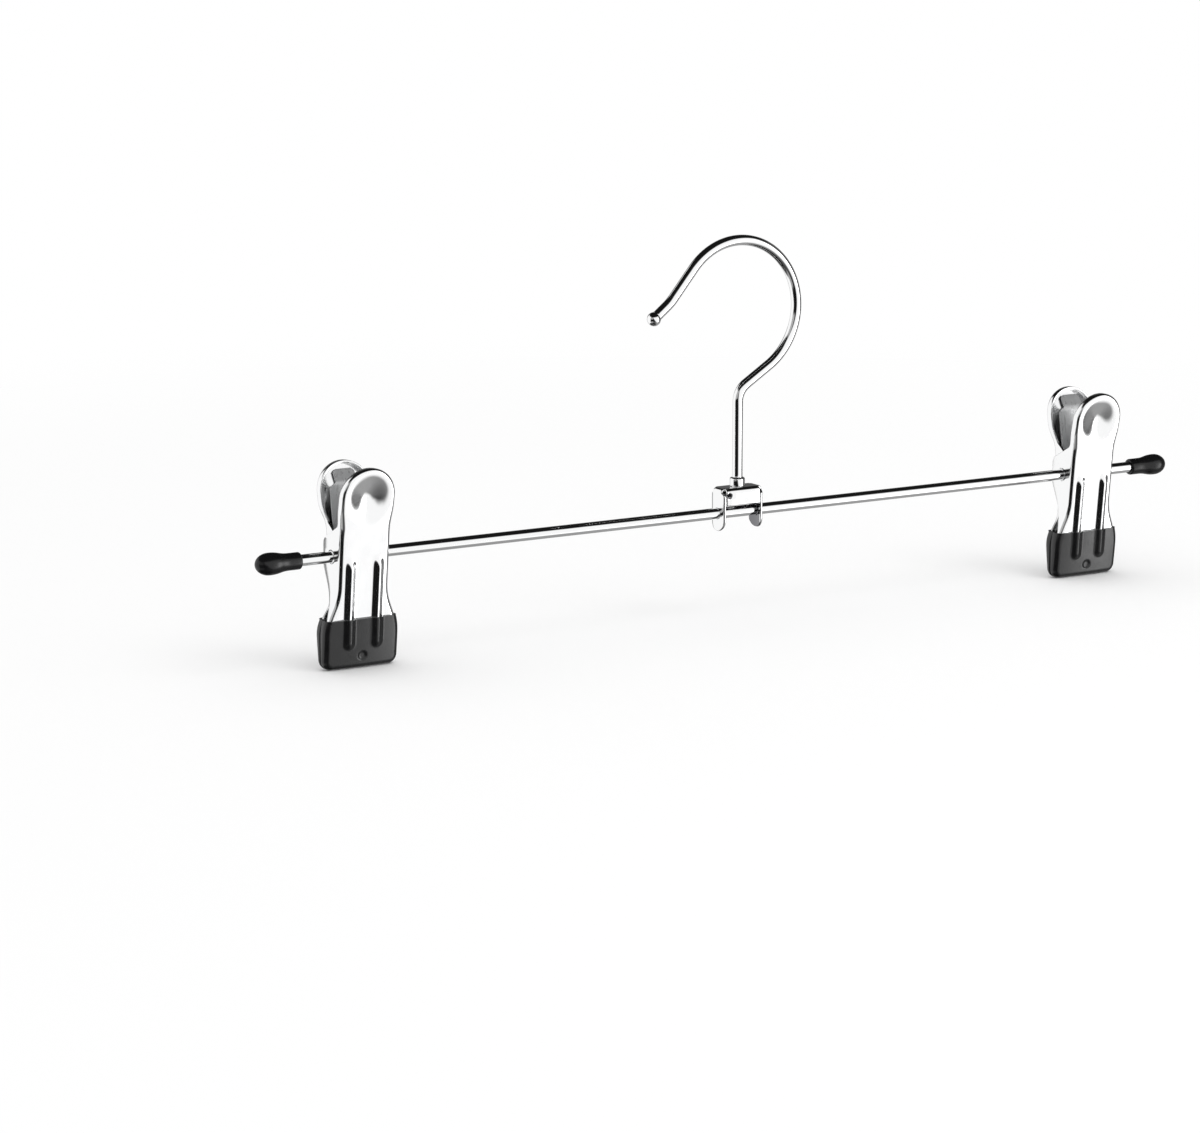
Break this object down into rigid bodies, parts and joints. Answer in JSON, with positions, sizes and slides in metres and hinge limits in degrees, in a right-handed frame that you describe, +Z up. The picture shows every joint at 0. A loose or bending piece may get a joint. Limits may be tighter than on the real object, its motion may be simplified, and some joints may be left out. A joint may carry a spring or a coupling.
{
  "type": "skirt hanger",
  "caption": "Chromed metal skirt hanger: straight bar with end caps, swivel hook, and sliding spring clips with black grip tips.",
  "frame": {"origin": "where the hook's crook rests on a closet rail: the inside top of the crook, above the middle of the bar", "axes": "+Z up along the shank, X along the bar, the hook's mouth towards -X, the front jaws towards -Y"},
  "size_m": [0.31, 0.0184, 0.1109],
  "materials": {
    "chromed_wire": "polished",
    "chromed_sheet": "polished",
    "spring_steel": "satin",
    "cap_plastic": "glossy",
    "grip_vinyl": "satin"
  },
  "bodies": {
    "hook": {"hook": "chromed_wire"},
    "frame": {"hook_bracket": "chromed_sheet", "bar": "chromed_wire", "left_end_cap": "cap_plastic", "right_end_cap": "cap_plastic"},
    "left_clip": {"left_spring": "spring_steel"},
    "left_front_clip_half": {"left_front_jaw": "chromed_sheet", "left_front_tip": "grip_vinyl"},
    "left_rear_clip_half": {"left_rear_jaw": "chromed_sheet", "left_rear_tip": "grip_vinyl"},
    "right_clip": {"right_spring": "spring_steel"},
    "right_front_clip_half": {"right_front_jaw": "chromed_sheet", "right_front_tip": "grip_vinyl"},
    "right_rear_clip_half": {"right_rear_jaw": "chromed_sheet", "right_rear_tip": "grip_vinyl"}
  },
  "joints": [
    {"name": "hook_swivel", "type": "hinge", "parent": "hook", "child": "frame", "pos_m": [0, 0, -0.07665], "axis": [0, 0, 1], "continuous": true},
    {"name": "left_clip_slide", "type": "slide", "parent": "frame", "child": "left_clip", "axis": [1, 0, 0], "range_m": [-0.0094, 0.109]},
    {"name": "left_front_jaw_open", "type": "hinge", "parent": "left_clip", "child": "left_front_clip_half", "pos_m": [-0.1241, 0, -0.07665], "axis": [-1, 0, 0], "range_deg": [0, 13], "stiffness_Nm_per_rad": 0.15, "springref_deg": -34.38, "deforming": ["left_spring"]},
    {"name": "left_rear_jaw_open", "type": "hinge", "parent": "left_clip", "child": "left_rear_clip_half", "pos_m": [-0.1241, 0, -0.07665], "axis": [1, 0, 0], "range_deg": [0, 13], "stiffness_Nm_per_rad": 0.15, "springref_deg": -34.38},
    {"name": "right_clip_slide", "type": "slide", "parent": "frame", "child": "right_clip", "axis": [-1, 0, 0], "range_m": [-0.0094, 0.109]},
    {"name": "right_front_jaw_open", "type": "hinge", "parent": "right_clip", "child": "right_front_clip_half", "pos_m": [0.1241, 0, -0.07665], "axis": [-1, 0, 0], "range_deg": [0, 13], "stiffness_Nm_per_rad": 0.15, "springref_deg": -34.38, "deforming": ["right_spring"]},
    {"name": "right_rear_jaw_open", "type": "hinge", "parent": "right_clip", "child": "right_rear_clip_half", "pos_m": [0.1241, 0, -0.07665], "axis": [1, 0, 0], "range_deg": [0, 13], "stiffness_Nm_per_rad": 0.15, "springref_deg": -34.38}
  ],
  "couplings": [
    {"joint": "left_rear_jaw_open", "follows": "left_front_jaw_open", "ratio": 1},
    {"joint": "right_rear_jaw_open", "follows": "right_front_jaw_open", "ratio": 1}
  ]
}
